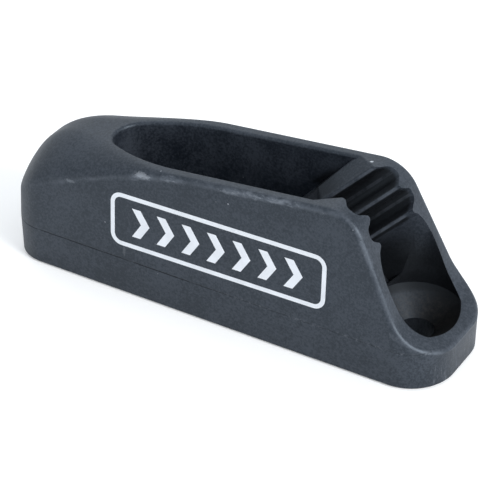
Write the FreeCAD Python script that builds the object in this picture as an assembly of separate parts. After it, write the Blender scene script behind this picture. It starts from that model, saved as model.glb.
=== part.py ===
import FreeCAD, Part
import math
import os

# Moulded jam cleat for a light control line, one solid piece of nylon, in millimetres.
# X runs from the nose (minus) to the toe (plus), Y goes across and Z goes up.
# The origin is the middle of the flat base that is screwed down.

# Foot band, from the base up to the parting line
length = 74.8
width = 20.3
band_height = 6.45
nose_corner = 5.9
toe_corner = 7.3
band_taper = 0.11
foot_chamfer = 0.35

# Upper body: drafted sides, sloping top, rounded knee, hollow front
side_draft = 4.6
ridge_height = 24.15
ridge_slope = 6.0
peak_x = 22.7
knee_round = 6.1
front_angle = 63.7
front_curve = 10.0
toe_angle = 26.0
toe_height = 5.67
crest_round = 0.9

# Nose dome: rounded end, and shoulders that narrow and drop towards the nose
dome_length = 12.0
dome_base = 11.0
dome_joint_x = -8.0
shoulder_drop = 1.0
shoulder_lift = 0.55
shoulder_fade = 1.3
crown_flat = 0.12
crown_pace = 1.5
crown_bulge = 0.36

# Cross-sections that the nose is lofted through, and how far its corner loft runs on
corner_steps = 6
runout_steps = 2
straight_steps = 4
corner_runout = 0.7

# Pocket that the line comes up through, with a ramp at its front
pocket_end_x = -22.6
pocket_end_length = 14.8
pocket_end_round = 4.1
rim_wall = 2.13
pocket_draft = 1.5
pocket_floor = 7.1
ramp_top_x = 15.5
ramp_angle = 48.0
lip_round = 0.6

# Toothed channel, cut along a line that leans forward
channel_angle = 43.5
channel_depth = 12.3
channel_taper = 0.30
channel_end = 11.6
channel_rise = 6.0
tooth_pitch = 4.2
tooth_half_gap = 4.68
outer_opening = 0.68
tooth_round = 0.45
tooth_flank = 55.0

# Grooves between the teeth, each with a fine rib at its bottom
groove_wall = 0.9
groove_half = 6.62
groove_bulge = 0.18
rib_share = 0.45

# Sloping entry before the first tooth and flare after the last one
entry_start = 10.0
entry_round = 0.5
flare_half = 7.9
flare_bulge = 0.06
well_start = 8.6

# Screw well at the toe, conical seats and holes for 5 mm screws
screw_hole = 5.5
seat_angle = 100.0
toe_seat_radius = 7.0
toe_seat_height = 7.3
toe_screw_x = 29.5
pocket_seat_radius = 5.9
pocket_screw_x = -12.5
well_draft = 3.0

# Rope lead through the nose
lead_radius = 3.6
lead_height = 11.8
lead_mouth = 1.0

# Surfaces that run into each other are joined within this distance,
# and a point nearer than this to an edge or a surface counts as on it
join_within = 0.01
touch = 0.05
edge_samples = 8

Vector = FreeCAD.Vector
half_length = length / 2
half_width = width / 2
side_slope = math.tan(math.radians(side_draft))
ridge_rise = math.tan(math.radians(ridge_slope))
above = ridge_height + peak_x
below = -length / 10
shoulder_base = dome_base - shoulder_drop
pocket_half = half_width - (ridge_height - band_height) * side_slope - rim_wall
flank = math.radians(tooth_flank)
drawing_rise = 2 * channel_rise


def ridge(x):
    # Height of the sloping top over the middle of the base
    return ridge_height + ridge_rise * x


def arc_edge(centre, radius, start, turn, z):
    points = []
    for part in (0.0, 0.5, 1.0):
        angle = math.radians(start + turn * part)
        points.append(Vector(centre[0] + radius * math.cos(angle), centre[1] + radius * math.sin(angle), z))
    return Part.Arc(*points).toShape()


def plan_wire(inset, z):
    # Rounded rectangle of the foot, moved inwards by the inset
    x0 = -half_length + inset
    x1 = half_length - inset
    half = half_width - inset
    r0 = nose_corner - inset
    r1 = toe_corner - inset
    edges = [
        Part.makeLine(Vector(x0 + r0, -half, z), Vector(x1 - r1, -half, z)),
        arc_edge((x1 - r1, -half + r1), r1, -90, 90, z),
        Part.makeLine(Vector(x1, -half + r1, z), Vector(x1, half - r1, z)),
        arc_edge((x1 - r1, half - r1), r1, 0, 90, z),
        Part.makeLine(Vector(x1 - r1, half, z), Vector(x0 + r0, half, z)),
        arc_edge((x0 + r0, half - r0), r0, 90, 90, z),
        Part.makeLine(Vector(x0, half - r0, z), Vector(x0, -half + r0, z)),
        arc_edge((x0 + r0, -half + r0), r0, 180, 90, z),
    ]
    return Part.Wire(edges)


def corner_arc(corner, before, after, radius):
    # Three points of the arc that rounds a corner between two straight runs
    first = (before - corner).normalize()
    second = (after - corner).normalize()
    half = first.getAngle(second) / 2
    middle = (first + second).normalize()
    start = corner + first * (radius / math.tan(half))
    end = corner + second * (radius / math.tan(half))
    centre = corner + middle * (radius / math.sin(half))
    return start, centre - middle * radius, end


def side_profile():
    # Ridge, knee, front slope and toe, seen from the side
    front_fall = math.tan(math.radians(front_angle))
    toe_fall = math.tan(math.radians(toe_angle))
    peak = Vector(peak_x, 0, ridge(peak_x))
    toe_line = toe_height + toe_fall * half_length
    foot_x = (peak.z + front_fall * peak_x - toe_line) / (front_fall - toe_fall)
    foot = Vector(foot_x, 0, toe_line - toe_fall * foot_x)
    start = Vector(dome_joint_x, 0, ridge(dome_joint_x))
    end_x = half_length + toe_corner
    end = Vector(end_x, 0, toe_line - toe_fall * end_x)
    knee = corner_arc(peak, start, foot, knee_round)
    hollow = corner_arc(foot, peak, end, front_curve)
    edges = [
        Part.makeLine(start, knee[0]),
        Part.Arc(*knee).toShape(),
        Part.makeLine(knee[2], hollow[0]),
        Part.Arc(*hollow).toShape(),
        Part.makeLine(hollow[2], end),
        Part.makeLine(end, Vector(end_x, 0, below)),
        Part.makeLine(Vector(end_x, 0, below), Vector(dome_joint_x, 0, below)),
        Part.makeLine(Vector(dome_joint_x, 0, below), start),
    ]
    return Part.Face(Part.Wire(edges))


def across(face, half):
    # Prism of a side view, to both sides of the middle plane
    face.translate(Vector(0, -half, 0))
    return face.extrude(Vector(0, 2 * half, 0))


def front_body():
    # Straight drafted part of the body from the dome to the toe, crest rounded
    low = plan_wire((below - band_height) * side_slope, below)
    high = plan_wire((above - band_height) * side_slope, above)
    block = Part.makeLoft([low, high], True, True)
    block = block.common(across(side_profile(), width))
    crest = []
    for edge in block.Edges:
        middle = edge.valueAt((edge.FirstParameter + edge.LastParameter) / 2)
        joint_edge = edge.BoundBox.XMax < dome_joint_x + touch
        cross_edge = abs(middle.y) < touch and middle.x < half_length - touch
        if edge.BoundBox.ZMin > 0 and not joint_edge and not cross_edge:
            crest.append(edge)
    return block.makeFillet(crest_round, crest)


def dome_height(x):
    # Quarter ellipse that meets the sloping top without a kink
    centre = dome_length - half_length
    sine = ridge_rise * dome_length / (ridge(centre) - dome_base)
    rise = ridge_rise * dome_length / math.tan(math.asin(sine))
    if x > centre - dome_length * sine:
        return ridge(x)
    return dome_base + rise * math.sqrt(max(0.0, 1 - ((x - centre) / dome_length) ** 2))


def dome_section(x):
    # Cross-section of the nose: drafted sides, soft shoulders, narrow top
    along = (x + half_length) / (dome_joint_x + half_length)
    half = half_width
    if x < -half_length + nose_corner:
        reach = -half_length + nose_corner - x
        half = half_width - nose_corner + math.sqrt(max(0.0, nose_corner ** 2 - reach ** 2))
    draft = math.radians(side_draft)
    joint_drop = crest_round * (1 - math.sin(draft))
    joint_height = ridge(dome_joint_x) - joint_drop
    joint_share = (joint_height - shoulder_base) / (joint_height + joint_drop - shoulder_base)
    top = dome_height(x)
    share = joint_share * (1 - (1 - along) ** shoulder_fade) ** shoulder_lift
    shoulder_z = shoulder_base + (top - shoulder_base) * share
    shoulder_y = half - (shoulder_z - band_height) * side_slope
    joint_y = half_width - (joint_height - band_height) * side_slope
    joint_flat = 1 - crest_round * math.cos(draft) / joint_y
    ease = along ** crown_pace
    ease = ease * ease * (3 - 2 * ease)
    top_y = shoulder_y * (crown_flat + (joint_flat - crown_flat) * ease)
    turn = math.pi / 2 - draft
    round_bulge = 4 / 3 * math.tan(turn / 4) / math.cos(draft)
    bulge = crown_bulge + (round_bulge - crown_bulge) * ease
    foot_y = half - (below - band_height) * side_slope
    rise = top - shoulder_z
    halves = []
    for side in (-1, 1):
        shoulder = Part.BezierCurve()
        shoulder.setPoles([
            Vector(x, side * shoulder_y, shoulder_z),
            Vector(x, side * (shoulder_y - bulge * rise * side_slope), shoulder_z + bulge * rise),
            Vector(x, side * (top_y + bulge * (shoulder_y - top_y)), top),
            Vector(x, side * top_y, top),
        ])
        wall = Part.makeLine(Vector(x, side * foot_y, below), Vector(x, side * shoulder_y, shoulder_z))
        halves.append([wall, shoulder.toShape()])
    roof = Part.makeLine(Vector(x, -top_y, top), Vector(x, top_y, top))
    floor = Part.makeLine(Vector(x, foot_y, below), Vector(x, -foot_y, below))
    return Part.Wire(halves[0] + [roof] + halves[1][::-1] + [floor])


def dome_body():
    # Nose in two lofts: round the end corners, then along the straight sides to the joint
    end_x = -half_length
    straight_x = end_x + nose_corner
    split_x = straight_x + nose_corner * corner_runout
    corner = []
    for step in range(corner_steps):
        angle = math.pi / 2 * step / corner_steps
        corner.append(dome_section(end_x + nose_corner * (1 - math.cos(angle))))
    for step in range(runout_steps + 1):
        corner.append(dome_section(straight_x + (split_x - straight_x) * step / runout_steps))
    straight = []
    for step in range(straight_steps + 1):
        straight.append(dome_section(split_x + (dome_joint_x - split_x) * step / straight_steps))
    return [Part.makeLoft(corner, True, False), Part.makeLoft(straight, True, False)]


def foot_limit():
    # Space that the foot band fills below the parting line, and all above it
    bottom = plan_wire(band_taper + foot_chamfer, 0)
    heel = plan_wire(band_taper, foot_chamfer)
    parting = plan_wire(0, band_height)
    limit = Part.makeLoft([bottom, heel], True, True)
    limit = limit.fuse(Part.makeLoft([heel, parting], True, True))
    limit = limit.fuse(Part.Face(parting).extrude(Vector(0, 0, above)))
    return limit


def pocket_wire(inset, z):
    # Plan of the pocket: oval nose end of three arcs, straight sides, open towards the ramp
    centre_x = pocket_end_x + pocket_end_length
    front_x = ramp_top_x + pocket_half
    half = pocket_half - inset
    reach = pocket_end_length - pocket_end_round
    spare = pocket_half - pocket_end_round
    side_round = (reach ** 2 + pocket_half ** 2 - pocket_end_round ** 2) / (2 * spare)
    shift = side_round - pocket_half
    turn = math.atan2(reach, shift)
    arcs = []
    for side in (-1, 1):
        points = []
        for share in (0.0, 0.5, 1.0):
            across_x = (side_round - inset) * math.sin(turn * share)
            across_y = (side_round - inset) * math.cos(turn * share) - shift
            points.append(Vector(centre_x - across_x, side * across_y, z))
        arcs.append(points)
    near, far = arcs
    tip = Vector(pocket_end_x + inset, 0, z)
    edges = [
        Part.makeLine(Vector(front_x, half, z), far[0]),
        Part.Arc(*far).toShape(),
        Part.Arc(far[2], tip, near[2]).toShape(),
        Part.Arc(near[2], near[1], near[0]).toShape(),
        Part.makeLine(near[0], Vector(front_x, -half, z)),
        Part.makeLine(Vector(front_x, -half, z), Vector(front_x, half, z)),
    ]
    return Part.Wire(edges)


def pocket_block():
    # Whole height of the pocket with its drafted walls
    slope = math.tan(math.radians(pocket_draft))
    high = ridge(peak_x)
    low_inset = (ridge_height - pocket_floor) * slope
    high_inset = (ridge_height - high) * slope
    return Part.makeLoft([pocket_wire(low_inset, pocket_floor), pocket_wire(high_inset, high)], True, True)


def pocket_cutter():
    # Pocket closed at its front by the ramp
    rise = math.tan(math.radians(ramp_angle))
    top_z = ridge(ramp_top_x)
    corners = [
        Vector(ramp_top_x + (above - top_z) / rise, 0, above),
        Vector(pocket_end_x - pocket_half, 0, above),
        Vector(pocket_end_x - pocket_half, 0, pocket_floor),
        Vector(ramp_top_x - (top_z - pocket_floor) / rise, 0, pocket_floor),
    ]
    side = Part.Face(Part.makePolygon(corners + corners[:1]))
    return pocket_block().common(across(side, width))


def knee_centre():
    # Centre of the round knee, seen from the side
    turn = math.radians(ridge_slope + front_angle) / 2
    rise = math.radians(ridge_slope)
    start_x = peak_x - knee_round * math.tan(turn) * math.cos(rise)
    return Vector(start_x, 0, ridge(start_x)) + Vector(math.sin(rise), 0, -math.cos(rise)) * knee_round


def channel_axes():
    # Crest point of the middle tooth, way down the teeth and way across them
    lean = math.radians(channel_angle)
    crest = knee_centre() + Vector(math.cos(lean), 0, math.sin(lean)) * knee_round
    return crest, Vector(-math.cos(lean), 0, -math.sin(lean)), Vector(math.sin(lean), 0, -math.cos(lean))


def wall_way(side):
    # Direction in which a channel wall runs down, leaning towards the middle
    crest, down, across_teeth = channel_axes()
    return (down - Vector(0, side * channel_taper, 0)).normalize()


def wall_point(place, half, side):
    # Point of the wall, given at the crest, moved up its own way onto a plane square to it
    crest, down, across_teeth = channel_axes()
    way = wall_way(side)
    start = crest + across_teeth * place + Vector(0, side * half, 0)
    return start - way * ((start - crest).dot(way) + drawing_rise)


def step_from(point, angle, distance):
    return point[0] + distance * math.cos(angle), point[1] + distance * math.sin(angle)


def bowed(start, end, bulge):
    # Arc between two points, bowed out of the channel by a share of its span
    middle = ((start[0] + end[0]) / 2, (start[1] + end[1]) / 2)
    across_x = (start[1] - end[1]) * bulge
    across_y = (end[0] - start[0]) * bulge
    return [start, (middle[0] + across_x, middle[1] + across_y), end]


def tooth_tip(place, half):
    # Round tip between the two flanks of a tooth
    reach = tooth_round * math.sin(flank)
    rise = tooth_round * (1 - math.cos(flank))
    return [(place - reach, half + rise), (place, half), (place + reach, half + rise)]


def wall_curves():
    # Channel wall from the first tooth to the well, in straight runs and arcs
    tips = []
    for tooth in (-1, 0, 1):
        tips.append(tooth_tip(tooth * tooth_pitch, tooth_half_gap + abs(tooth) * outer_opening))
    curves = [tips[0]]
    for tooth in (0, 1):
        start = tips[tooth][2]
        end = tips[tooth + 1][0]
        rib = ((tooth - 1 + rib_share) * tooth_pitch, groove_half)
        leave = step_from(start, flank, groove_wall)
        reach = step_from(end, -flank, -groove_wall)
        curves += [[start, leave], bowed(leave, rib, groove_bulge), bowed(rib, reach, groove_bulge)]
        curves += [[reach, end], tips[tooth + 1]]
    start = tips[2][2]
    leave = step_from(start, flank, groove_wall)
    end = (well_start, flare_half)
    curves += [[start, leave], bowed(leave, end, flare_bulge), [end, (channel_end, flare_half)]]
    return curves


def entry_curves():
    # Straight flank that closes in on the first tooth, drawn from beyond the pocket's side
    start = tooth_tip(-tooth_pitch, tooth_half_gap + outer_opening)[0]
    wide = (start[0] - (half_width - start[1]) / math.tan(flank), half_width)
    narrow = (-tooth_pitch, start[1] - (-tooth_pitch - start[0]) * math.tan(flank))
    return [[(-entry_start, half_width), wide], [wide, narrow]]


def channel_half(curves, side):
    # Space from the middle plane to one wall
    edges = []
    for curve in curves:
        spots = [wall_point(place, half, side) for place, half in curve]
        if len(spots) == 2:
            edges.append(Part.makeLine(*spots))
        else:
            edges.append(Part.Arc(*spots).toShape())
    start = wall_point(*curves[0][0], side)
    end = wall_point(*curves[-1][-1], side)
    inner_start = wall_point(curves[0][0][0], -width, side)
    inner_end = wall_point(curves[-1][-1][0], -width, side)
    edges.append(Part.makeLine(end, inner_end))
    edges.append(Part.makeLine(inner_end, inner_start))
    edges.append(Part.makeLine(inner_start, start))
    run = 2 * drawing_rise + channel_depth
    prism = Part.Face(Part.Wire(edges)).extrude(wall_way(side) * run)
    crest, down, across_teeth = channel_axes()
    top = crest - down * channel_rise
    low = crest + down * channel_depth
    reach = across_teeth * length
    room = Part.Face(Part.makePolygon([top - reach, top + reach, low + reach, low - reach, top - reach]))
    return prism.common(room.extrude(Vector(0, side * width, 0)))


def channel_cutter(curves):
    # Channel that narrows down the teeth
    return channel_half(curves, -1).fuse(channel_half(curves, 1))


def screw_cutter(x, seat_height, seat_radius):
    # Through hole and its conical seat
    hole_radius = screw_hole / 2
    drop = (seat_radius - hole_radius) / math.tan(math.radians(seat_angle / 2))
    hole = Part.makeCylinder(hole_radius, seat_height, Vector(x, 0, -drop / 2))
    return hole.fuse(Part.makeCone(hole_radius, seat_radius, drop, Vector(x, 0, seat_height - drop)))


def well_cutter():
    # Drafted well over the toe screw, kept in front of the flare
    rise = above - toe_seat_height
    spread = rise * math.tan(math.radians(well_draft))
    base = Vector(toe_screw_x, 0, toe_seat_height)
    cone = Part.makeCone(toe_seat_radius, toe_seat_radius + spread, rise, base)
    crest, down, across_teeth = channel_axes()
    high = crest - down * length + across_teeth * well_start
    low = crest + down * length + across_teeth * well_start
    corners = [high, low, Vector(high.x, 0, low.z)]
    return cone.common(across(Part.Face(Part.makePolygon(corners + corners[:1])), width))


def lead_cutter():
    # Straight round way for the line from the nose end into the pocket
    start = Vector(-half_length - 1, 0, lead_height)
    return Part.makeCylinder(lead_radius, half_length + pocket_end_x + pocket_half, start, Vector(1, 0, 0))


def edge_points(edge):
    first = edge.FirstParameter
    span = edge.LastParameter - first
    return [edge.valueAt(first + span * step / edge_samples) for step in range(edge_samples + 1)]


def round_edges(shape, radius, is_wanted):
    # Rounds each edge whose points along its length all pass the test
    wanted = [edge for edge in shape.Edges if is_wanted(edge_points(edge))]
    return shape.makeFillet(radius, wanted)


def on_lead_mouth(points):
    # Rim of the lead on the outside of the nose
    if max(point.x for point in points) > pocket_end_x - lead_radius:
        return False
    axis = Vector(0, 0, lead_height)
    for point in points:
        if abs(Vector(0, point.y, point.z).sub(axis).Length - lead_radius) > touch:
            return False
    return True


def on_top(point):
    # On the outer surface of the nose or the sloping top, within the rounding of the rim
    return abs(point.z - dome_height(point.x)) < lip_round and point.x > pocket_end_x - touch


def on_pocket_lip(points):
    # Rim of the pocket, round the nose end and along both sides
    for point in points:
        if not on_top(point) or abs(point.y) > pocket_half + touch * 2:
            return False
        if point.x > 0 and abs(point.y) < pocket_half - touch * 2:
            return False
    return True


def on_entry_rim(points):
    # Rim of the entry, where it closes in from the rounded lip to the first tooth
    for point in points:
        if not on_top(point) or point.x < ramp_top_x:
            return False
        if abs(point.y) < tooth_half_gap - tooth_round or abs(point.y) > pocket_half + lip_round + touch:
            return False
    return abs(points[0].y - points[-1].y) > tooth_round


def main():
    front = front_body()
    body = front.fuse(dome_body(), join_within)
    body = body.common([foot_limit()], join_within).removeSplitter()
    body = body.cut(pocket_cutter())
    body = body.cut(lead_cutter())
    body = round_edges(body, lead_mouth, on_lead_mouth)
    entry = channel_cutter(entry_curves()).common(pocket_block())
    body = body.cut(entry).removeSplitter()
    body = round_edges(body, lip_round, on_pocket_lip)
    body = round_edges(body, entry_round, on_entry_rim)
    cutters = [
        channel_cutter(wall_curves()),
        well_cutter(),
        screw_cutter(toe_screw_x, toe_seat_height, toe_seat_radius),
        screw_cutter(pocket_screw_x, pocket_floor, pocket_seat_radius),
    ]
    for cutter in cutters:
        body = body.cut(cutter)
    body = body.Solids[0]
    print("one solid, valid:", body.isValid(), "volume:", round(body.Volume), "faces:", len(body.Faces))
    os.makedirs("parts", exist_ok=True)
    body.exportStep("parts/cleat_body.step")


main()
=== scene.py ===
import math
import bpy
from mathutils import Matrix, Vector


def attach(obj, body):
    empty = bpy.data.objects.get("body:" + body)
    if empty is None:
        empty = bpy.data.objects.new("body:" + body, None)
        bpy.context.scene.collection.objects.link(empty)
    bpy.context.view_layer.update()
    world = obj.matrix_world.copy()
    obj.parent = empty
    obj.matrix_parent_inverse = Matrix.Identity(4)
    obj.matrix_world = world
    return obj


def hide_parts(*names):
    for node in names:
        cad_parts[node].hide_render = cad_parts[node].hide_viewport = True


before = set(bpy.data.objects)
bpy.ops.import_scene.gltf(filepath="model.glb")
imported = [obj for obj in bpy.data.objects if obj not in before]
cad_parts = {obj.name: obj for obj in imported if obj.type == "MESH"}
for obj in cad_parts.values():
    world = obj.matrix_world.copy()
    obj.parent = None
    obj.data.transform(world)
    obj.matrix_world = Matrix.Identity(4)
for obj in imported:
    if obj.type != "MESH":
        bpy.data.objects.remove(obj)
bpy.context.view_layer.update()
mm = 0.001
print("frame loaded")


def deselectAll():
    if bpy.context.mode != "OBJECT":
        bpy.ops.object.mode_set(mode="OBJECT")
    bpy.ops.object.select_all(action="DESELECT")


def makeActive(piece):
    deselectAll()
    piece.select_set(True)
    bpy.context.view_layer.objects.active = piece


def addNode(tree, kind, at, **settings):
    node = tree.nodes.new(kind)
    node.location = at
    for name, value in settings.items():
        setattr(node, name, value)
    return node


# A number or a colour is set on the socket, another node's output is linked to it
def feed(tree, value, socket):
    if isinstance(value, (int, float, tuple)):
        socket.default_value = value
    else:
        tree.links.new(value, socket)


# Group with numbers and vectors going in, None where one is always linked, and numbers coming out
def newGroup(name, inputs, outputs):
    tree = bpy.data.node_groups.new(name, "ShaderNodeTree")
    for socketName, value in inputs.items():
        kind = "NodeSocketFloat" if isinstance(value, float) else "NodeSocketVector"
        socket = tree.interface.new_socket(socketName, in_out="INPUT", socket_type=kind)
        if value is not None:
            socket.default_value = value
    for socketName in outputs:
        tree.interface.new_socket(socketName, in_out="OUTPUT", socket_type="NodeSocketFloat")
    start = addNode(tree, "NodeGroupInput", (-1400, 0))
    end = addNode(tree, "NodeGroupOutput", (900, 0))
    return tree, start.outputs, end


def putOut(tree, end, results):
    for name, result in results.items():
        tree.links.new(result, end.inputs[name])


def groupNode(tree, group, at, place):
    node = addNode(tree, "ShaderNodeGroup", at)
    node.node_tree = group
    tree.links.new(place, node.inputs["Place"])
    return node


def mathNode(tree, operation, at, first, second=None):
    node = addNode(tree, "ShaderNodeMath", at, operation=operation)
    feed(tree, first, node.inputs[0])
    if second is not None:
        feed(tree, second, node.inputs[1])
    return node.outputs[0]


def chainNodes(tree, operation, at, values):
    result = values[0]
    for index, value in enumerate(values[1:]):
        result = mathNode(tree, operation, (at[0] + 150 * index, at[1]), result, value)
    return result


def multiply(tree, at, *values):
    return chainNodes(tree, "MULTIPLY", at, values)


def largest(tree, at, *values):
    return chainNodes(tree, "MAXIMUM", at, values)


def addUp(tree, at, *values):
    return chainNodes(tree, "ADD", at, values)


def subtract(tree, at, first, second):
    return mathNode(tree, "SUBTRACT", at, first, second)


def absolute(tree, at, value):
    return mathNode(tree, "ABSOLUTE", at, value)


def lengthNode(tree, at, first, second):
    left, down = at
    firstSquare = multiply(tree, (left, down + 50), first, first)
    secondSquare = multiply(tree, (left, down - 100), second, second)
    total = addUp(tree, (left + 150, down), firstSquare, secondSquare)
    return mathNode(tree, "SQRT", (left + 300, down), total)


def vectorNode(tree, operation, at, first, second=None):
    node = addNode(tree, "ShaderNodeVectorMath", at, operation=operation)
    feed(tree, first, node.inputs[0])
    if second is not None:
        feed(tree, second, node.inputs[1])
    return node.outputs["Value" if operation in ("DOT_PRODUCT", "LENGTH") else "Vector"]


# Soft step between two values, which may fall as well as rise
def rangeNode(tree, at, value, fromLow, fromHigh, toLow=0.0, toHigh=1.0):
    node = addNode(tree, "ShaderNodeMapRange", at, interpolation_type="SMOOTHSTEP")
    feed(tree, value, node.inputs["Value"])
    feed(tree, fromLow, node.inputs["From Min"])
    feed(tree, fromHigh, node.inputs["From Max"])
    feed(tree, toLow, node.inputs["To Min"])
    feed(tree, toHigh, node.inputs["To Max"])
    return node.outputs["Result"]


def noiseNode(tree, at, vector, scale, detail, roughness=0.55):
    node = addNode(tree, "ShaderNodeTexNoise", at)
    feed(tree, vector, node.inputs["Vector"])
    feed(tree, scale, node.inputs["Scale"])
    feed(tree, detail, node.inputs["Detail"])
    feed(tree, roughness, node.inputs["Roughness"])
    return node.outputs["Fac"]


# Noise about zero, at most half its reach either way
def driftNode(tree, at, vector, noise, reach):
    left, down = at
    drift = noiseNode(tree, (left, down), vector, *noise)
    drift = subtract(tree, (left + 150, down), drift, 0.5)
    return multiply(tree, (left + 300, down), drift, reach)


# Free curve through points, each a value in and the value out there
def curveNode(tree, at, value, points, lowOut, highOut):
    left, down = at
    lowIn = points[0][0]
    highIn = points[-1][0]
    along = addNode(tree, "ShaderNodeMapRange", (left, down))
    along.inputs["From Min"].default_value = lowIn
    along.inputs["From Max"].default_value = highIn
    tree.links.new(value, along.inputs["Value"])
    line = addNode(tree, "ShaderNodeFloatCurve", (left + 200, down))
    curve = line.mapping.curves[0]
    shares = []
    for first, second in points:
        shares.append(((first - lowIn) / (highIn - lowIn), (second - lowOut) / (highOut - lowOut)))
    curve.points[0].location = shares[0]
    curve.points[1].location = shares[-1]
    for share in shares[1:-1]:
        curve.points.new(*share)
    line.mapping.update()
    tree.links.new(along.outputs["Result"], line.inputs["Value"])
    result = addNode(tree, "ShaderNodeMapRange", (left + 500, down))
    result.inputs["To Min"].default_value = lowOut
    result.inputs["To Max"].default_value = highOut
    tree.links.new(line.outputs["Value"], result.inputs["Value"])
    return result.outputs["Result"]


def splitNode(tree, at, vector):
    split = addNode(tree, "ShaderNodeSeparateXYZ", at)
    tree.links.new(vector, split.inputs[0])
    return split.outputs["X"], split.outputs["Y"], split.outputs["Z"]


def stretchNode(tree, at, vector, scale):
    stretch = addNode(tree, "ShaderNodeMapping", at)
    stretch.inputs["Scale"].default_value = scale
    tree.links.new(vector, stretch.inputs["Vector"])
    return stretch.outputs[0]


# Where a point lies on the piece, in millimetres
def millimetreNode(tree, at):
    left, down = at
    coordinates = addNode(tree, "ShaderNodeTexCoord", (left, down))
    scaled = addNode(tree, "ShaderNodeVectorMath", (left + 200, down), operation="SCALE")
    scaled.inputs["Scale"].default_value = 1 / mm
    tree.links.new(coordinates.outputs["Object"], scaled.inputs[0])
    return scaled.outputs[0]


def mixColors(tree, at, mask, below, above):
    node = addNode(tree, "ShaderNodeMix", at, data_type="RGBA")
    tree.links.new(mask, node.inputs["Factor"])
    feed(tree, below, node.inputs[6])
    feed(tree, above, node.inputs[7])
    return node.outputs[2]


# Colour laid over what is below, as strongly as the mask and its strength say
def coverNode(tree, at, mask, strength, below, above):
    left, down = at
    amount = multiply(tree, (left - 100, down - 200), mask, strength)
    return mixColors(tree, at, amount, below, above)


# In the tables below a noise is its scale, detail and roughness, but the grain's scales come
# from its sizes, and a range is where it starts and ends, then what it gives at those two
# places if that isn't 0 and 1

# Fine grain of a spark-eroded mould, in millimetres
mouldGrain = {
    "grainSize": 0.25,
    "cloudSize": 6.0,
    "fine": (2.0, 0.6),
    "clouds": (5.0, 0.6),
    "speckle": (4.0, 0.7),
    "speckleShare": 0.6,
    "cloudsInHeight": 0.35,
    "cloudsInTone": 0.5,
    "toneRange": (0.62, 0.90),
}


def makeGrainGroup():
    tree, given, end = newGroup("mouldGrain", {
        "Place": None,
        "Grain Size": mouldGrain["grainSize"],
        "Cloud Size": mouldGrain["cloudSize"],
    }, ("Height", "Cloud", "Tone"))
    place = given["Place"]
    fineScale = mathNode(tree, "DIVIDE", (-900, 100), 1.0, given["Grain Size"])
    cloudScale = mathNode(tree, "DIVIDE", (-900, -200), 1.0, given["Cloud Size"])
    speckleScale = multiply(tree, (-750, -300), fineScale, mouldGrain["speckleShare"])
    fine = noiseNode(tree, (-600, 200), place, fineScale, *mouldGrain["fine"])
    clouds = noiseNode(tree, (-600, -50), place, cloudScale, *mouldGrain["clouds"])
    speckle = noiseNode(tree, (-600, -300), place, speckleScale, *mouldGrain["speckle"])
    inHeight = multiply(tree, (-300, 50), clouds, mouldGrain["cloudsInHeight"])
    inTone = multiply(tree, (-300, -200), clouds, mouldGrain["cloudsInTone"])
    height = addUp(tree, (0, 150), fine, inHeight)
    tone = addUp(tree, (0, -200), speckle, inTone)
    tone = rangeNode(tree, (200, -200), tone, *mouldGrain["toneRange"])
    putOut(tree, end, {"Height": height, "Cloud": clouds, "Tone": tone})
    return tree


grainGroup = makeGrainGroup()

# Rubbed crests: the line of each one seen from the side, how worn each stretch of it is,
# the least and most that the line reaches, and the width of the rub
crests = {
    "top": {
        "line": [(-37.5, 10.2), (-35.0, 12.6), (-31.0, 14.4), (-26.7, 16.2), (-20.0, 18.9),
                 (-12.0, 21.6), (-6.0, 22.8), (8.0, 24.4), (16.0, 25.3), (20.0, 25.6)],
        "wear": [(-37.5, 0.1), (-28.0, 0.15), (-26.0, 0.45), (-24.5, 0.2), (-21.0, 0.4),
                 (-17.0, 0.15), (-14.5, 0.3), (-13.3, 1.0), (-11.3, 1.0), (-9.8, 0.45),
                 (-8.5, 0.8), (-5.0, 0.6), (-2.0, 0.4), (1.0, 0.75), (5.0, 0.9), (11.0, 0.9),
                 (15.0, 0.6), (20.0, 0.4)],
        "least": 8.0,
        "most": 28.0,
        "width": 0.62,
    },
    "front": {
        "line": [(6.0, 33.9), (7.0, 33.6), (8.0, 32.6), (9.0, 31.6), (10.0, 30.75),
                 (11.0, 30.15), (13.0, 29.1), (16.0, 27.6), (19.0, 26.1), (22.0, 24.6),
                 (23.0, 24.1), (24.0, 23.3), (25.2, 21.9)],
        "wear": [(6.0, 0.0), (6.8, 0.18), (8.0, 0.2), (12.0, 0.2), (16.0, 0.36), (20.0, 0.45),
                 (23.0, 0.6), (25.2, 0.4)],
        "least": 20.0,
        "most": 36.0,
        "width": 0.48,
    },
    "sideRange": (7.4, 8.4),
    "drift": (0.8, 3.0),
    "driftReach": 0.7,
    "patches": (0.5, 4.0, 0.6),
    "patchRange": (0.30, 0.62, 0.35, 1.0),
    "grit": (1.5, 7.0, 0.75),
    "gritStretch": (0.5, 1.0, 1.4),
    "gritLevel": 0.74,
    "gritLevelDrop": 0.32,
    "gritFade": 0.12,
}


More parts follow.
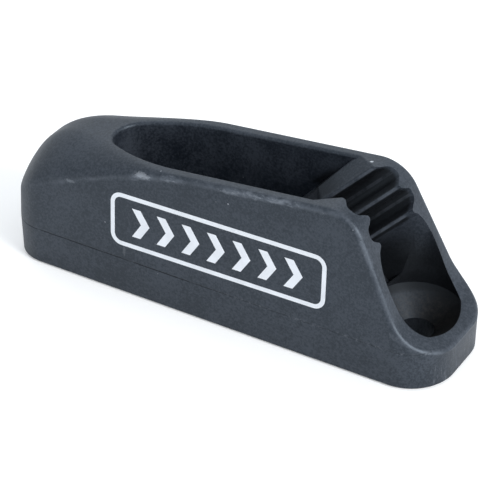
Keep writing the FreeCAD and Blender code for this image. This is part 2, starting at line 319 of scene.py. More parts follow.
def makeRubGroup(name, crest):
    tree, given, end = newGroup(name, {
        "Place": None,
        "Along": 0.0,
        "Offset": 0.0,
        "Width": crest["width"],
    }, ("Wear", "Scuff"))
    place = given["Place"]
    along = given["Along"]
    target = curveNode(tree, (-1000, 300), along, crest["line"], crest["least"], crest["most"])
    amount = curveNode(tree, (-1000, 0), along, crest["wear"], 0.0, 1.0)
    drift = driftNode(tree, (-700, -600), place, crests["drift"], crests["driftReach"])
    offset = subtract(tree, (-200, 200), given["Offset"], target)
    distance = absolute(tree, (50, 200), addUp(tree, (-50, 200), offset, drift))
    band = rangeNode(tree, (200, 200), distance, given["Width"], 0.0)
    side = absolute(tree, (-800, -300), splitNode(tree, (-1000, -300), place)[1])
    outside = rangeNode(tree, (-600, -300), side, *crests["sideRange"])
    band = multiply(tree, (350, 100), band, outside)
    patches = noiseNode(tree, (-400, -800), place, *crests["patches"])
    patches = rangeNode(tree, (-200, -800), patches, *crests["patchRange"])
    worn = multiply(tree, (500, 0), band, multiply(tree, (350, -100), amount, patches))
    stretched = stretchNode(tree, (-700, -1000), place, crests["gritStretch"])
    grit = noiseNode(tree, (-400, -1000), stretched, *crests["grit"])
    drop = multiply(tree, (-100, -500), amount, crests["gritLevelDrop"])
    level = subtract(tree, (0, -500), crests["gritLevel"], drop)
    fullLevel = addUp(tree, (150, -600), level, crests["gritFade"])
    scuff = multiply(tree, (650, -300), band, rangeNode(tree, (300, -500), grit, level, fullLevel))
    putOut(tree, end, {"Wear": worn, "Scuff": scuff})
    return tree


topRubGroup = makeRubGroup("topCrestRub", crests["top"])
frontRubGroup = makeRubGroup("frontCrestRub", crests["front"])

# Thin line at one height on the outer walls, where the two mould halves meet, with bits of flash
mouldLine = {
    "height": 6.45,
    "width": 0.20,
    "innerSide": 7.1,
    "noseStart": -31.0,
    "toeEnd": 35.9,
    "wander": (0.9, 3.0),
    "wanderReach": 0.16,
    "gaps": (0.35, 5.0, 0.7),
    "gapRange": (0.30, 0.50, 0.35, 1.0),
    "fadeAlong": (-8.0, 10.0, 1.0, 0.5),
    "chips": (1.1, 5.0, 0.7),
    "chipRange": (0.50, 0.62),
    "chipsAlong": (-6.0, 10.0, 0.05, 1.0),
    "chipSpread": 1.7,
}


def makePartingGroup():
    tree, given, end = newGroup("partingLine", {
        "Place": None,
        "Height": mouldLine["height"],
        "Width": mouldLine["width"],
        "Inner Side": mouldLine["innerSide"],
        "Nose Start": mouldLine["noseStart"],
        "Toe End": mouldLine["toeEnd"],
    }, ("Line", "Flash"))
    place = given["Place"]
    alongX, acrossY, upZ = splitNode(tree, (-1200, 0), place)
    wander = driftNode(tree, (-1100, -300), place, mouldLine["wander"], mouldLine["wanderReach"])
    height = addUp(tree, (-700, -100), given["Height"], wander)
    distance = absolute(tree, (-350, 0), subtract(tree, (-500, 0), upZ, height))
    line = rangeNode(tree, (-150, 100), distance, given["Width"], 0.0)

    side = absolute(tree, (-850, 300), acrossY)
    onSide = mathNode(tree, "GREATER_THAN", (-700, 300), side, given["Inner Side"])
    onNose = mathNode(tree, "LESS_THAN", (-700, 450), alongX, given["Nose Start"])
    beforeToe = mathNode(tree, "LESS_THAN", (-700, 600), alongX, given["Toe End"])
    outer = multiply(tree, (-300, 400), largest(tree, (-500, 400), onSide, onNose), beforeToe)
    gaps = noiseNode(tree, (-400, 900), place, *mouldLine["gaps"])
    gaps = rangeNode(tree, (-200, 900), gaps, *mouldLine["gapRange"])
    fade = rangeNode(tree, (-200, 1100), alongX, *mouldLine["fadeAlong"])
    line = multiply(tree, (50, 200), line, outer, gaps, fade)

    chips = noiseNode(tree, (-500, -500), place, *mouldLine["chips"])
    chips = rangeNode(tree, (-300, -500), chips, *mouldLine["chipRange"])
    front = rangeNode(tree, (-300, -700), alongX, *mouldLine["chipsAlong"])
    reach = multiply(tree, (-400, -250), given["Width"], mouldLine["chipSpread"])
    near = rangeNode(tree, (-150, -200), distance, reach, 0.0)
    flash = multiply(tree, (0, -400), chips, front, near, outer)
    putOut(tree, end, {"Line": line, "Flash": flash})
    return tree


partingGroup = makePartingGroup()

# Ragged mark round one spot, as large as its size says
spotEdge = {
    "ragged": (3.5, 4.0, 0.7),
    "raggedReach": 1.6,
    "fadeRange": (1.0, 0.5),
}


def makeSpotGroup():
    tree, given, end = newGroup("spotMark", {
        "Place": None,
        "Middle": None,
        "Size": None,
    }, ("Mask",))
    away = vectorNode(tree, "SUBTRACT", (-800, 0), given["Place"], given["Middle"])
    shares = vectorNode(tree, "DIVIDE", (-600, 0), away, given["Size"])
    distance = vectorNode(tree, "LENGTH", (-400, 0), shares)
    ragged = driftNode(tree, (-700, -300), given["Place"], spotEdge["ragged"], spotEdge["raggedReach"])
    reach = addUp(tree, (-100, 0), distance, ragged)
    putOut(tree, end, {"Mask": rangeNode(tree, (200, 0), reach, *spotEdge["fadeRange"])})
    return tree


spotGroup = makeSpotGroup()

# Toe: scratches down its end, a rubbed upper edge with a painted highlight, dust low in the screw seat,
# and painted shade in the well
toe = {
    "scratchStart": 34.5,
    "scratchFull": 37.2,
    "scratchTop": 5.2,
    "scratchFoot": 3.6,
    "strokes": (2.2, 4.0, 0.7),
    "strokeStretch": (1.0, 1.0, 0.16),
    "strokeRange": (0.54, 0.70),
    "edgeHeight": 23.91,
    "edgeFall": 0.4877,
    "cornerStart": 30.1,
    "cornerSide": 2.85,
    "cornerRadius": 7.3,
    "edgeInset": (0.65, 0.1),
    "edgeDepth": (0.55, 0.1),
    "breaks": (0.7, 5.0, 0.65),
    "breakRange": (0.34, 0.62, 0.25, 1.0),
    "screwPlace": 29.5,
    "wellRadius": 7.0,
    "holeRadius": 2.8,
    "seatHeight": 7.32,
    "seatSpread": 1.1918,
    "seatOffset": -1.62,
    "dustPatches": (1.6, 6.0, 0.8),
    "dustRange": (0.38, 0.66, 0.1, 1.0),
    "dustHeight": (7.3, 5.2),
    "wallRadius": 6.67,
    "wallDraft": 0.0524,
    "wallShade": (18.5, 11.0),
    "seatShade": (25.5, 32.0, 0.7, 1.3),
    "rimShade": (5.3, 7.1, 0.0, 1.35),
    "holeShade": 0.6,
}


def makeToeGroup():
    tree, given, end = newGroup("toeWearHighlightAndShade", {
        "Place": None,
        "Scratch Start": toe["scratchStart"],
        "Scratch Top": toe["scratchTop"],
        "Corner Radius": toe["cornerRadius"],
        "Screw Place": toe["screwPlace"],
        "Well Radius": toe["wellRadius"],
        "Hole Radius": toe["holeRadius"],
        "Seat Height": toe["seatHeight"],
    }, ("Scratch", "Edge", "Dust", "Shade"))
    place = given["Place"]
    alongX, acrossY, upZ = splitNode(tree, (-1200, 0), place)
    side = absolute(tree, (-1000, -100), acrossY)

    # Scratches on the foot band's end
    stretched = stretchNode(tree, (-900, 200), place, toe["strokeStretch"])
    strokes = noiseNode(tree, (-700, 200), stretched, *toe["strokes"])
    strokes = rangeNode(tree, (-500, 200), strokes, *toe["strokeRange"])
    atToe = rangeNode(tree, (-500, 0), alongX, given["Scratch Start"], toe["scratchFull"])
    inBand = rangeNode(tree, (-500, -150), upZ, given["Scratch Top"], toe["scratchFoot"])
    scratch = multiply(tree, (-300, 100), strokes, atToe, inBand)

    # Edge round the toe's sloping top: rubbed wear and a painted highlight
    pastX = subtract(tree, (-1050, 700), alongX, toe["cornerStart"])
    pastY = subtract(tree, (-1050, 850), side, toe["cornerSide"])
    pastY = largest(tree, (-900, 850), pastY, 0.0)
    inset = lengthNode(tree, (-750, 750), pastX, pastY)
    inset = subtract(tree, (-150, 750), given["Corner Radius"], inset)
    rim = rangeNode(tree, (0, 750), inset, *toe["edgeInset"])
    slope = multiply(tree, (-600, 1000), alongX, toe["edgeFall"])
    top = subtract(tree, (-450, 1000), toe["edgeHeight"], slope)
    fromTop = absolute(tree, (-150, 1000), subtract(tree, (-300, 1000), upZ, top))
    fromTop = rangeNode(tree, (0, 1000), fromTop, *toe["edgeDepth"])
    ahead = mathNode(tree, "GREATER_THAN", (200, 1000), pastX, 0.0)
    breaks = noiseNode(tree, (-100, 1200), place, *toe["breaks"])
    breaks = rangeNode(tree, (100, 1200), breaks, *toe["breakRange"])
    edge = multiply(tree, (300, 850), rim, fromTop, ahead, breaks)

    # Dust on the conical seat, below its rim and outside the hole
    fromScrew = subtract(tree, (-1000, -500), alongX, given["Screw Place"])
    radius = lengthNode(tree, (-850, -500), fromScrew, acrossY)
    cone = multiply(tree, (-700, -350), upZ, toe["seatSpread"])
    cone = addUp(tree, (-550, -350), cone, toe["seatOffset"])
    cone = mathNode(tree, "MINIMUM", (-400, -350), cone, given["Well Radius"])
    inWell = mathNode(tree, "LESS_THAN", (-250, -450), radius, cone)
    offHole = mathNode(tree, "GREATER_THAN", (-250, -600), radius, given["Hole Radius"])
    settled = rangeNode(tree, (-250, -750), upZ, *toe["dustHeight"])
    patches = noiseNode(tree, (-500, -900), place, *toe["dustPatches"])
    patches = rangeNode(tree, (-250, -900), patches, *toe["dustRange"])
    dust = multiply(tree, (0, -500), inWell, offHole, settled, patches)

    # Shade on the well's wall, on its seat and in the hole
    onWall = mathNode(tree, "GREATER_THAN", (-700, -1400), upZ, given["Seat Height"])
    limit = multiply(tree, (-850, -1550), upZ, toe["wallDraft"])
    limit = addUp(tree, (-700, -1550), limit, toe["wallRadius"])
    nearScrew = mathNode(tree, "LESS_THAN", (-550, -1550), radius, limit)
    wall = rangeNode(tree, (-550, -1100), upZ, *toe["wallShade"])
    wall = multiply(tree, (-300, -1100), wall, onWall, nearScrew)
    acrossSeat = rangeNode(tree, (-550, -1250), alongX, *toe["seatShade"])
    underRim = rangeNode(tree, (-550, -1350), upZ, *toe["rimShade"])
    belowWall = subtract(tree, (-400, -1450), 1.0, onWall)
    seat = largest(tree, (-350, -1250), acrossSeat, underRim)
    seat = multiply(tree, (-200, -1250), seat, inWell, belowWall)
    inHole = multiply(tree, (0, -700), subtract(tree, (-100, -700), 1.0, offHole), toe["holeShade"])
    shade = largest(tree, (200, -1150), wall, seat, inHole)
    putOut(tree, end, {"Scratch": scratch, "Edge": edge, "Dust": dust, "Shade": shade})
    return tree


toeGroup = makeToeGroup()

# Toothed channel: rubbed tooth tips and ribs brightened with a painted highlight, over grooves darkened
# with painted shade
channel = {
    "crest": (23.54, 0.0, 24.22),
    "across": (0.6884, 0.0, -0.7254),
    "down": (-0.7254, 0.0, -0.6884),
    "pitch": 4.2,
    "mostSide": 7.7,
    "kneeBend": 0.09,
    "kneeFall": 0.6963,
    "belowCrest": (0.1, 0.9),
    "tipRange": (0.36, 0.10),
    "ribPlace": 2.0,
    "ribRange": (0.22, 0.05, 0.0, 0.55),
    "teethMiddle": 0.3,
    "teethRange": (5.0, 4.5),
    "rubs": (0.9, 5.0, 0.7),
    "rubStretch": (0.5, 1.0, 0.5),
    "rubRange": (0.34, 0.60, 0.2, 1.0),
    "flareStart": (4.4, 5.4),
    "flareShade": (19.0, 11.5),
    "flareFoot": (7.25, 7.6),
    "flareBelow": (0.1, 0.7),
    "entryEnd": (-4.3, -4.9),
    "entryStart": (-7.5, -6.5),
    "entryShade": (24.2, 20.3, 0.0, 0.85),
    "entryFoot": (18.3, 19.3),
}


def makeChannelGroup():
    tree, given, end = newGroup("channelWearHighlightAndShade", {
        "Place": None,
        "Crest": channel["crest"],
        "Across": channel["across"],
        "Down": channel["down"],
        "Pitch": channel["pitch"],
        "Most Side": channel["mostSide"],
    }, ("Polish And Highlight", "Shade"))
    place = given["Place"]
    pitch = given["Pitch"]
    acrossY, upZ = splitNode(tree, (-1100, -400), place)[1:]
    side = absolute(tree, (-900, -400), acrossY)
    inside = mathNode(tree, "LESS_THAN", (-700, -400), side, given["Most Side"])
    fromCrest = vectorNode(tree, "SUBTRACT", (-1000, 0), place, given["Crest"])
    across = vectorNode(tree, "DOT_PRODUCT", (-800, 0), fromCrest, given["Across"])
    depth = vectorNode(tree, "DOT_PRODUCT", (-800, -200), fromCrest, given["Down"])

    # How deep a point lies below the rounded knee and the straight slopes on either side of it
    reach = absolute(tree, (-950, 250), across)
    bend = mathNode(tree, "MINIMUM", (-800, 100), reach, pitch)
    bend = multiply(tree, (-650, 100), bend, bend, channel["kneeBend"])
    beyond = largest(tree, (-650, -50), subtract(tree, (-800, -50), reach, pitch), 0.0)
    beyond = multiply(tree, (-500, -50), beyond, channel["kneeFall"])
    surface = addUp(tree, (-350, 50), bend, beyond)
    under = subtract(tree, (-200, 0), depth, surface)
    below = multiply(tree, (100, 0), rangeNode(tree, (-50, 0), under, *channel["belowCrest"]), inside)

    # Tooth tips one pitch apart, with a rib between each two; tips and ribs get rubbed wear and a painted
    # highlight
    turns = mathNode(tree, "DIVIDE", (-650, 400), across, pitch)
    turns = addUp(tree, (-500, 400), turns, 0.5)
    phase = mathNode(tree, "FRACT", (-350, 400), turns)
    phase = absolute(tree, (-50, 400), subtract(tree, (-200, 400), phase, 0.5))
    fromTip = multiply(tree, (100, 400), phase, pitch)
    tip = rangeNode(tree, (250, 400), fromTip, *channel["tipRange"])
    fromRib = subtract(tree, (-50, 600), fromTip, channel["ribPlace"])
    fromRib = absolute(tree, (100, 600), fromRib)
    rib = rangeNode(tree, (250, 600), fromRib, *channel["ribRange"])
    spread = subtract(tree, (-650, 250), across, channel["teethMiddle"])
    spread = absolute(tree, (-500, 250), spread)
    teeth = rangeNode(tree, (-300, 250), spread, *channel["teethRange"])
    stretched = stretchNode(tree, (-200, 800), place, channel["rubStretch"])
    rubs = noiseNode(tree, (0, 800), stretched, *channel["rubs"])
    rubs = rangeNode(tree, (250, 800), rubs, *channel["rubRange"])
    inTeeth = multiply(tree, (250, 100), below, teeth)
    polishAndHighlight = multiply(tree, (500, 500), largest(tree, (350, 500), tip, rib), rubs, inTeeth)

    # Shade in the grooves, on the flare into the well and low on the entry flank
    betweenTips = subtract(tree, (350, 50), 1.0, tip)
    grooves = multiply(tree, (450, 0), inTeeth, betweenTips)
    pastTeeth = rangeNode(tree, (100, -200), across, *channel["flareStart"])
    lowFlare = rangeNode(tree, (100, -350), upZ, *channel["flareShade"])
    aboveSeat = rangeNode(tree, (100, -500), upZ, *channel["flareFoot"])
    underFlare = rangeNode(tree, (100, -650), under, *channel["flareBelow"])
    flare = multiply(tree, (300, -300), pastTeeth, inside, lowFlare, aboveSeat, underFlare)
    beforeTeeth = rangeNode(tree, (100, -800), across, *channel["entryEnd"])
    pastPocket = rangeNode(tree, (100, -950), across, *channel["entryStart"])
    lowEntry = rangeNode(tree, (100, -1100), upZ, *channel["entryShade"])
    aboveRamp = rangeNode(tree, (100, -1250), upZ, *channel["entryFoot"])
    entry = multiply(tree, (300, -950), beforeTeeth, inside, pastPocket, lowEntry, aboveRamp)
    shade = largest(tree, (900, -100), grooves, flare, entry)
    putOut(tree, end, {"Polish And Highlight": polishAndHighlight, "Shade": shade})
    return tree


channelGroup = makeChannelGroup()

# Tiny pale specks of lint, a few to each square centimetre
lint = {
    "spacing": 3.0,
    "size": 0.05,
    "keptRange": (0.62, 0.66),
}


def makeSpeckGroup():
    tree, given, end = newGroup("lintSpecks", {
        "Place": None,
        "Spacing": lint["spacing"],
        "Size": lint["size"],
    }, ("Mask",))
    cells = addNode(tree, "ShaderNodeTexVoronoi", (-700, 0))
    scale = mathNode(tree, "DIVIDE", (-900, -100), 1.0, given["Spacing"])
    tree.links.new(given["Place"], cells.inputs["Vector"])
    tree.links.new(scale, cells.inputs["Scale"])
    tint = addNode(tree, "ShaderNodeSeparateColor", (-500, -200))
    tree.links.new(cells.outputs["Color"], tint.inputs[0])
    kept = rangeNode(tree, (-300, -200), tint.outputs[0], *lint["keptRange"])
    dot = rangeNode(tree, (-300, 100), cells.outputs["Distance"], given["Size"], 0.0)
    putOut(tree, end, {"Mask": multiply(tree, (0, 0), kept, dot)})
    return tree


speckGroup = makeSpeckGroup()
print("shared effects ready")

# Moulded body: charcoal nylon, satin, slightly rubbed
# A strength is how far an effect covers what lies below it
body = {
    "color": (0.0070, 0.0095, 0.0145, 1.0),
    "paleColor": (0.0290, 0.0340, 0.0440, 1.0),
    "wearAndHighlightColor": (0.095, 0.107, 0.128, 1.0),
    "rubColor": (0.172, 0.190, 0.218, 1.0),
    "speckColor": (0.55, 0.58, 0.63, 1.0),
    "dustColor": (0.036, 0.030, 0.026, 1.0),
    "shadeColor": (0.0042, 0.0041, 0.0044, 1.0),
    "lineColor": (0.004, 0.004, 0.005, 1.0),
    "sheenTint": (0.75, 0.87, 1.0, 1.0),
    "sheen": 0.54,
    "refraction": 1.53,
    "smoothest": 0.41,
    "dullest": 0.54,
    "dullRange": (0.3, 0.75),
    "scuffDulling": 0.2,
    "edgeStrength": 0.38,
    "shadeStrength": 0.85,
    "shadeDimming": 0.85,
    "dimmest": 0.5,
    "polishHighlightStrength": 0.55,
    "dustStrength": 0.5,
    "lineStrength": 0.9,
    "flashStrength": 0.45,
    "scratchStrength": 0.7,
    "scuffStrength": 0.75,
    "lintStrength": 0.3,
    "grainSize": 0.22,
    "grainDepth": 0.045,
    "bumpStrength": 0.35,
    "lineHeight": -2.5,
    "scuffHeight": 1.2,
    "smoothAngle": 24.0,
    "weldGap": 0.002,
}

# Single marks: where each lies and how far it reaches, in millimetres, and how strong it is
marks = {
    "rubPatch": ((-12.3, -8.9, 21.75), (1.6, 1.0, 0.55), 0.26),
    "noseNick": ((-25.3, -9.3, 16.85), (1.0, 1.0, 0.3), 0.10),
    "ridgeSpeck": ((18.2, 5.9, 26.06), (0.36, 0.25, 0.3), 0.8),
    "wallSpeckA": ((2.6, -8.92, 21.77), (0.13, 0.3, 0.13), 0.45),
    "wallSpeckB": ((0.57, -8.94, 21.45), (0.11, 0.3, 0.11), 0.2),
    "wallSpeckC": ((-18.82, -9.72, 11.78), (0.13, 0.3, 0.13), 0.35),
    "rimSpeck": ((-9.43, -8.14, 23.12), (0.16, 0.2, 0.12), 0.25),
    "printSmear": ((-15.3, -10.0, 7.9), (0.32, 0.5, 1.0), 0.07),
}


def gatherSpots(tree, place):
    specks = groupNode(tree, speckGroup, (-800, -800), place)
    spots = multiply(tree, (-600, -800), specks.outputs["Mask"], body["lintStrength"])
    for index, (middle, size, strength) in enumerate(marks.values()):
        level = -1000 - 160 * index
        spot = groupNode(tree, spotGroup, (-800, level), place)
        spot.inputs["Middle"].default_value = middle
        spot.inputs["Size"].default_value = size
        seen = multiply(tree, (-600, level), spot.outputs["Mask"], strength)
        spots = largest(tree, (-400 + 120 * index, -1000), spots, seen)
    return spots


def makeNylon():
    material = bpy.data.materials.new("mouldedNylon")
    material.use_nodes = True
    tree = material.node_tree
    shader = tree.nodes["Principled BSDF"]
    shader.location = (1400, 0)
    place = millimetreNode(tree, (-1400, 0))
    alongX, upZ = splitNode(tree, (-1000, -200), place)[::2]
    grain = groupNode(tree, grainGroup, (-800, 300), place)
    grain.inputs["Grain Size"].default_value = body["grainSize"]
    topRub = groupNode(tree, topRubGroup, (-800, 50), place)
    frontRub = groupNode(tree, frontRubGroup, (-800, -100), place)
    for rub, along, offset in ((topRub, alongX, upZ), (frontRub, upZ, alongX)):
        tree.links.new(along, rub.inputs["Along"])
        tree.links.new(offset, rub.inputs["Offset"])
    toeEffect = groupNode(tree, toeGroup, (-800, -350), place)
    channelEffect = groupNode(tree, channelGroup, (-800, -450), place)
    parting = groupNode(tree, partingGroup, (-800, -550), place)
    line = parting.outputs["Line"]

    # Masks that more than one socket of the shader uses
    worn = largest(tree, (-550, 0), topRub.outputs["Wear"], frontRub.outputs["Wear"])
    shade = largest(tree, (-350, -350), channelEffect.outputs["Shade"], toeEffect.outputs["Shade"])
    shade = multiply(tree, (-200, -350), shade, body["shadeStrength"])
    flash = multiply(tree, (-400, -550), parting.outputs["Flash"], body["flashStrength"])
    scratch = multiply(tree, (-400, -650), toeEffect.outputs["Scratch"], body["scratchStrength"])
    scuff = largest(tree, (-400, -150), topRub.outputs["Scuff"], frontRub.outputs["Scuff"], flash, scratch)

    base = mixColors(tree, (-300, 300), grain.outputs["Tone"], body["color"], body["paleColor"])
    base = mixColors(tree, (-100, 250), worn, base, body["wearAndHighlightColor"])
    # Rubbed wear and a painted highlight on the toe's upper edge
    edge = toeEffect.outputs["Edge"]
    base = coverNode(tree, (0, 250), edge, body["edgeStrength"], base, body["wearAndHighlightColor"])
    base = mixColors(tree, (100, 250), shade, base, body["shadeColor"])
    # Rubbed wear and a painted highlight on the channel's tooth tips and ribs
    polishAndHighlight = channelEffect.outputs["Polish And Highlight"]
    base = coverNode(tree, (200, 250), polishAndHighlight, body["polishHighlightStrength"], base, body["wearAndHighlightColor"])
    dust = toeEffect.outputs["Dust"]
    base = coverNode(tree, (300, 200), dust, body["dustStrength"], base, body["dustColor"])
    base = coverNode(tree, (400, 200), line, body["lineStrength"], base, body["lineColor"])
    base = coverNode(tree, (500, 100), scuff, body["scuffStrength"], base, body["rubColor"])
    base = mixColors(tree, (700, 0), gatherSpots(tree, place), base, body["speckColor"])
    tree.links.new(base, shader.inputs["Base Color"])

    # Deep shade and the parting line lose their sheen too: dark metal reflects next to nothing
    dimmed = multiply(tree, (550, -250), shade, body["shadeDimming"])
    dimmed = largest(tree, (700, -250), line, dimmed)
    dimmed = rangeNode(tree, (900, -250), dimmed, 0.0, 1.0, 0.0, body["dimmest"])
    tree.links.new(dimmed, shader.inputs["Metallic"])
    shader.inputs["Specular IOR Level"].default_value = body["sheen"]
    shader.inputs["Specular Tint"].default_value = body["sheenTint"]
    shader.inputs["IOR"].default_value = body["refraction"]

    cloud = grain.outputs["Cloud"]
    dull = rangeNode(tree, (300, -500), cloud, *body["dullRange"], body["smoothest"], body["dullest"])
    dull = addUp(tree, (600, -500), dull, multiply(tree, (450, -600), scuff, body["scuffDulling"]))
    tree.links.new(dull, shader.inputs["Roughness"])

    bump = addNode(tree, "ShaderNodeBump", (1100, -400))
    bump.inputs["Strength"].default_value = body["bumpStrength"]
    bump.inputs["Distance"].default_value = body["grainDepth"] * mm
    groove = multiply(tree, (600, -700), line, body["lineHeight"])
    raised = multiply(tree, (600, -850), scuff, body["scuffHeight"])
    height = addUp(tree, (800, -700), grain.outputs["Height"], groove, raised)
    tree.links.new(height, bump.inputs["Height"])
    tree.links.new(bump.outputs[0], shader.inputs["Normal"])
    return material


def makeBody():
    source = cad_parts["cleat_body"]
    piece = bpy.data.objects.new("mouldedBody", source.data.copy())
    bpy.context.scene.collection.objects.link(piece)
    makeActive(piece)
    bpy.ops.object.mode_set(mode="EDIT")
    bpy.ops.mesh.select_all(action="SELECT")
    bpy.ops.mesh.remove_doubles(threshold=body["weldGap"] * mm)
    bpy.ops.mesh.customdata_custom_splitnormals_clear()
    bpy.ops.object.mode_set(mode="OBJECT")
    bpy.ops.object.shade_smooth_by_angle(angle=math.radians(body["smoothAngle"]))
    piece.data.materials.clear()
    piece.data.materials.append(makeNylon())
    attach(piece, "root")
    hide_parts("cleat_body")
    return piece


mouldedBody = makeBody()
print("moulded body dressed")

# White pad print on the near side: a rounded frame round a row of plain chevrons
padPrint = {
    "middle": (0.83, 13.52),
    "length": 36.5,
    "height": 8.26,
    "stroke": 0.70,
    "cornerRadius": 1.9,
    "cornerSteps": 10,
    "tilt": 0.9,
    "wallDraft": 4.6,
    "wallFoot": 6.45,
    "halfWidth": 10.15,
    "thickness": 0.03,
    "chevronCount": 7,
    "chevronPitch": 4.4,
    "chevronHeight": 4.8,
    "chevronStroke": 1.5,
    "chevronLean": 1.6,
    "color": (0.80, 0.83, 0.88, 1.0),
    "thinColor": (0.72, 0.747, 0.792, 1.0),
    "cloudSize": 2.5,
    "cloudRange": (0.3, 0.7),
    "smoothest": 0.42,
    "dullest": 0.55,
}


# From the flat sheet to the drafted wall, with the print's own small tilt
def wallMatrix():
    draft = math.radians(padPrint["wallDraft"])
    middleX, middleZ = padPrint["middle"]
    middleY = -padPrint["halfWidth"] + (middleZ - padPrint["wallFoot"]) * math.tan(draft)
    upright = Matrix.Rotation(math.pi / 2 - draft, 4, "X")
    tilt = Matrix.Rotation(math.radians(padPrint["tilt"]), 4, "Z")
    return Matrix.Translation(Vector((middleX, middleY, middleZ)) * mm) @ upright @ tilt


def addSheet(name, width, height, middleY=0.0):
    deselectAll()
    bpy.ops.mesh.primitive_plane_add(size=1.0, location=(0.0, middleY * mm, 0.0))
    sheet = bpy.context.object
    sheet.name = name
    sheet.scale = (width * mm, height * mm, 1.0)
    bpy.ops.object.transform_apply(location=True, rotation=True, scale=True)
    return sheet


def selectVertices(piece, wanted):
    bpy.ops.object.mode_set(mode="EDIT")
    bpy.ops.mesh.select_mode(type="VERT")
    bpy.ops.mesh.select_all(action="DESELECT")
    bpy.ops.object.mode_set(mode="OBJECT")
    for vertex in piece.data.vertices:
        vertex.select = wanted(vertex.co)
    bpy.ops.object.mode_set(mode="EDIT")


def makeFrame():
    stroke = padPrint["stroke"]
    radius = padPrint["cornerRadius"]
    ring = addSheet("frameRing", padPrint["length"] + stroke, padPrint["height"] + stroke)
    bpy.ops.object.mode_set(mode="EDIT")
    bpy.ops.mesh.select_all(action="SELECT")
    bpy.ops.mesh.bevel(offset=radius * mm, segments=padPrint["cornerSteps"], affect="VERTICES")
    bpy.ops.mesh.select_all(action="SELECT")
    bpy.ops.mesh.inset(thickness=stroke * mm, depth=0.0)
    bpy.ops.mesh.delete(type="FACE")
    bpy.ops.object.mode_set(mode="OBJECT")
    return ring


def makeChevron():
    half = padPrint["chevronHeight"] / 2
    chevron = addSheet("chevron", padPrint["chevronStroke"], half, half / 2)
    lean = padPrint["chevronLean"] * mm
    selectVertices(chevron, lambda co: co.y > half * mm / 2)
    bpy.ops.transform.translate(value=(-lean, 0.0, 0.0))
    selectVertices(chevron, lambda co: co.y < half * mm / 2)
    bpy.ops.mesh.extrude_region_move(TRANSFORM_OT_translate={"value": (-lean, -half * mm, 0.0)})
    bpy.ops.object.mode_set(mode="OBJECT")
    return chevron


def makePrint(material):
    ring = makeFrame()
    chevron = makeChevron()
    count = padPrint["chevronCount"]
    parts = [ring]
    for index in range(count):
        twin = chevron.copy()
        twin.data = chevron.data.copy()
        bpy.context.scene.collection.objects.link(twin)
        offset = (index - (count - 1) / 2) * padPrint["chevronPitch"] + padPrint["chevronLean"] / 2
        twin.data.transform(Matrix.Translation((offset * mm, 0.0, 0.0)))
        parts.append(twin)
    bpy.data.objects.remove(chevron)
    deselectAll()
    for part in parts:
        part.select_set(True)
    bpy.context.view_layer.objects.active = ring
    bpy.ops.object.join()
    piece = bpy.context.object
    piece.name = "sidePrint"
    makeActive(piece)
    thicken = piece.modifiers.new("inkLayer", "SOLIDIFY")
    thicken.thickness = padPrint["thickness"] * mm
    thicken.offset = 1.0
    bpy.ops.object.modifier_apply(modifier=thicken.name)
    piece.data.transform(wallMatrix())
    bpy.ops.object.mode_set(mode="EDIT")
    bpy.ops.mesh.select_all(action="SELECT")
    bpy.ops.mesh.normals_make_consistent(inside=False)
    bpy.ops.object.mode_set(mode="OBJECT")
    piece.data.materials.clear()
    piece.data.materials.append(material)
    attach(piece, "root")
    return piece


def makeInk():
    material = bpy.data.materials.new("padInk")
    material.use_nodes = True
    tree = material.node_tree
    shader = tree.nodes["Principled BSDF"]
    grain = groupNode(tree, grainGroup, (-700, 0), millimetreNode(tree, (-1200, 0)))
    grain.inputs["Cloud Size"].default_value = padPrint["cloudSize"]
    cloud = grain.outputs["Cloud"]
    thin = rangeNode(tree, (-400, 0), cloud, *padPrint["cloudRange"])
    base = mixColors(tree, (-150, 0), thin, padPrint["color"], padPrint["thinColor"])
    tree.links.new(base, shader.inputs["Base Color"])
    ends = (padPrint["smoothest"], padPrint["dullest"])
    dull = rangeNode(tree, (-400, -250), cloud, *padPrint["cloudRange"], *ends)
    tree.links.new(dull, shader.inputs["Roughness"])
    return material


sidePrint = makePrint(makeInk())
print("side print laid on")

# Pale floor and soft studio light
studio = {
    "floorSize": 4.0,
    "floorColor": (0.88, 0.88, 0.88, 1.0),
    "floorRoughness": 0.9,
    "floorGlow": 0.22,
    "worldColor": (0.90, 0.95, 1.0, 1.0),
    "worldStrength": 0.84,
    "aim": (0.0, 0.0, 0.012),
    "topLight": {"place": (-0.30, 0.40, 0.70), "size": 0.6, "power": 1.2},
    "sideLight": {"place": (0.75, -0.15, 0.45), "size": 0.4, "power": 6.0},
}


def makeFloor():
    deselectAll()
    bpy.ops.mesh.primitive_plane_add(size=studio["floorSize"], location=(0.0, 0.0, 0.0))
    floor = bpy.context.object
    floor.name = "paleFloor"
    material = bpy.data.materials.new("paleFloor")
    material.use_nodes = True
    tree = material.node_tree
    shader = tree.nodes["Principled BSDF"]
    shader.inputs["Base Color"].default_value = studio["floorColor"]
    shader.inputs["Roughness"].default_value = studio["floorRoughness"]
    path = addNode(tree, "ShaderNodeLightPath", (-300, 300))
    glow = multiply(tree, (-100, 300), path.outputs["Is Camera Ray"], studio["floorGlow"])
    shader.inputs["Emission Color"].default_value = (1.0, 1.0, 1.0, 1.0)
    tree.links.new(glow, shader.inputs["Emission Strength"])
    floor.data.materials.append(material)


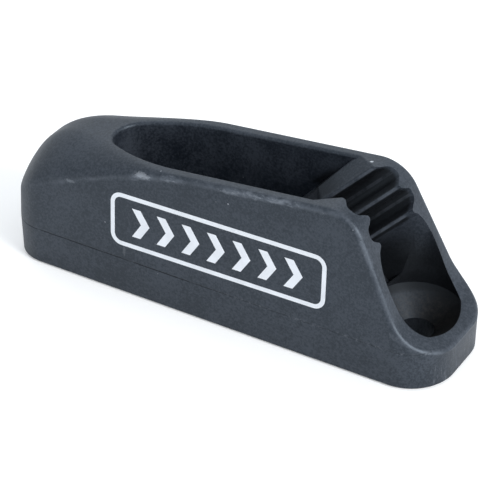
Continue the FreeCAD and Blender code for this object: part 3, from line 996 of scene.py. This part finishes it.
# The world is at full strength to the camera and a little softer as light
def makeWorld():
    world = bpy.data.worlds.new("softStudio")
    bpy.context.scene.world = world
    world.use_nodes = True
    tree = world.node_tree
    background = tree.nodes["Background"]
    background.inputs["Color"].default_value = studio["worldColor"]
    path = addNode(tree, "ShaderNodeLightPath", (-600, 0))
    missing = 1.0 - studio["worldStrength"]
    seen = multiply(tree, (-300, 0), path.outputs["Is Camera Ray"], missing)
    strength = addUp(tree, (-100, 0), seen, studio["worldStrength"])
    tree.links.new(strength, background.inputs["Strength"])


def addSoftLight(name, light):
    lamp = bpy.data.lights.new(name, "AREA")
    lamp.shape = "DISK"
    lamp.size = light["size"]
    lamp.energy = light["power"]
    holder = bpy.data.objects.new(name, lamp)
    bpy.context.scene.collection.objects.link(holder)
    holder.location = light["place"]
    aim = Vector(studio["aim"]) - holder.location
    holder.rotation_euler = aim.to_track_quat("-Z", "Y").to_euler()


makeFloor()
makeWorld()
addSoftLight("topLight", studio["topLight"])
addSoftLight("sideLight", studio["sideLight"])
bpy.context.scene.view_settings.view_transform = "Standard"
print("studio lit")

# Camera at the photograph's place: turned round the piece, then raised
viewpoint = {
    "turn": 30.79,
    "rise": 34.41,
    "distance": 339.6,
    "sideStep": 0.87,
    "upStep": 6.19,
    "lens": 158.4,
    "sensor": 36.0,
    "nearest": 0.01,
}


def makeCamera():
    turn = math.radians(viewpoint["turn"])
    rise = math.radians(viewpoint["rise"])
    back = Vector((math.sin(turn) * math.cos(rise), -math.cos(turn) * math.cos(rise), math.sin(rise)))
    right = Vector((math.cos(turn), math.sin(turn), 0.0))
    up = back.cross(right)
    place = back * viewpoint["distance"] + right * viewpoint["sideStep"] + up * viewpoint["upStep"]
    camera = bpy.data.cameras.new("viewCamera")
    camera.lens = viewpoint["lens"]
    camera.sensor_width = viewpoint["sensor"]
    camera.clip_start = viewpoint["nearest"]
    holder = bpy.data.objects.new("viewCamera", camera)
    bpy.context.scene.collection.objects.link(holder)
    turned = Matrix((right, up, back)).transposed().to_4x4()
    holder.matrix_world = Matrix.Translation(place * mm) @ turned
    bpy.context.scene.camera = holder


makeCamera()
print("camera set")
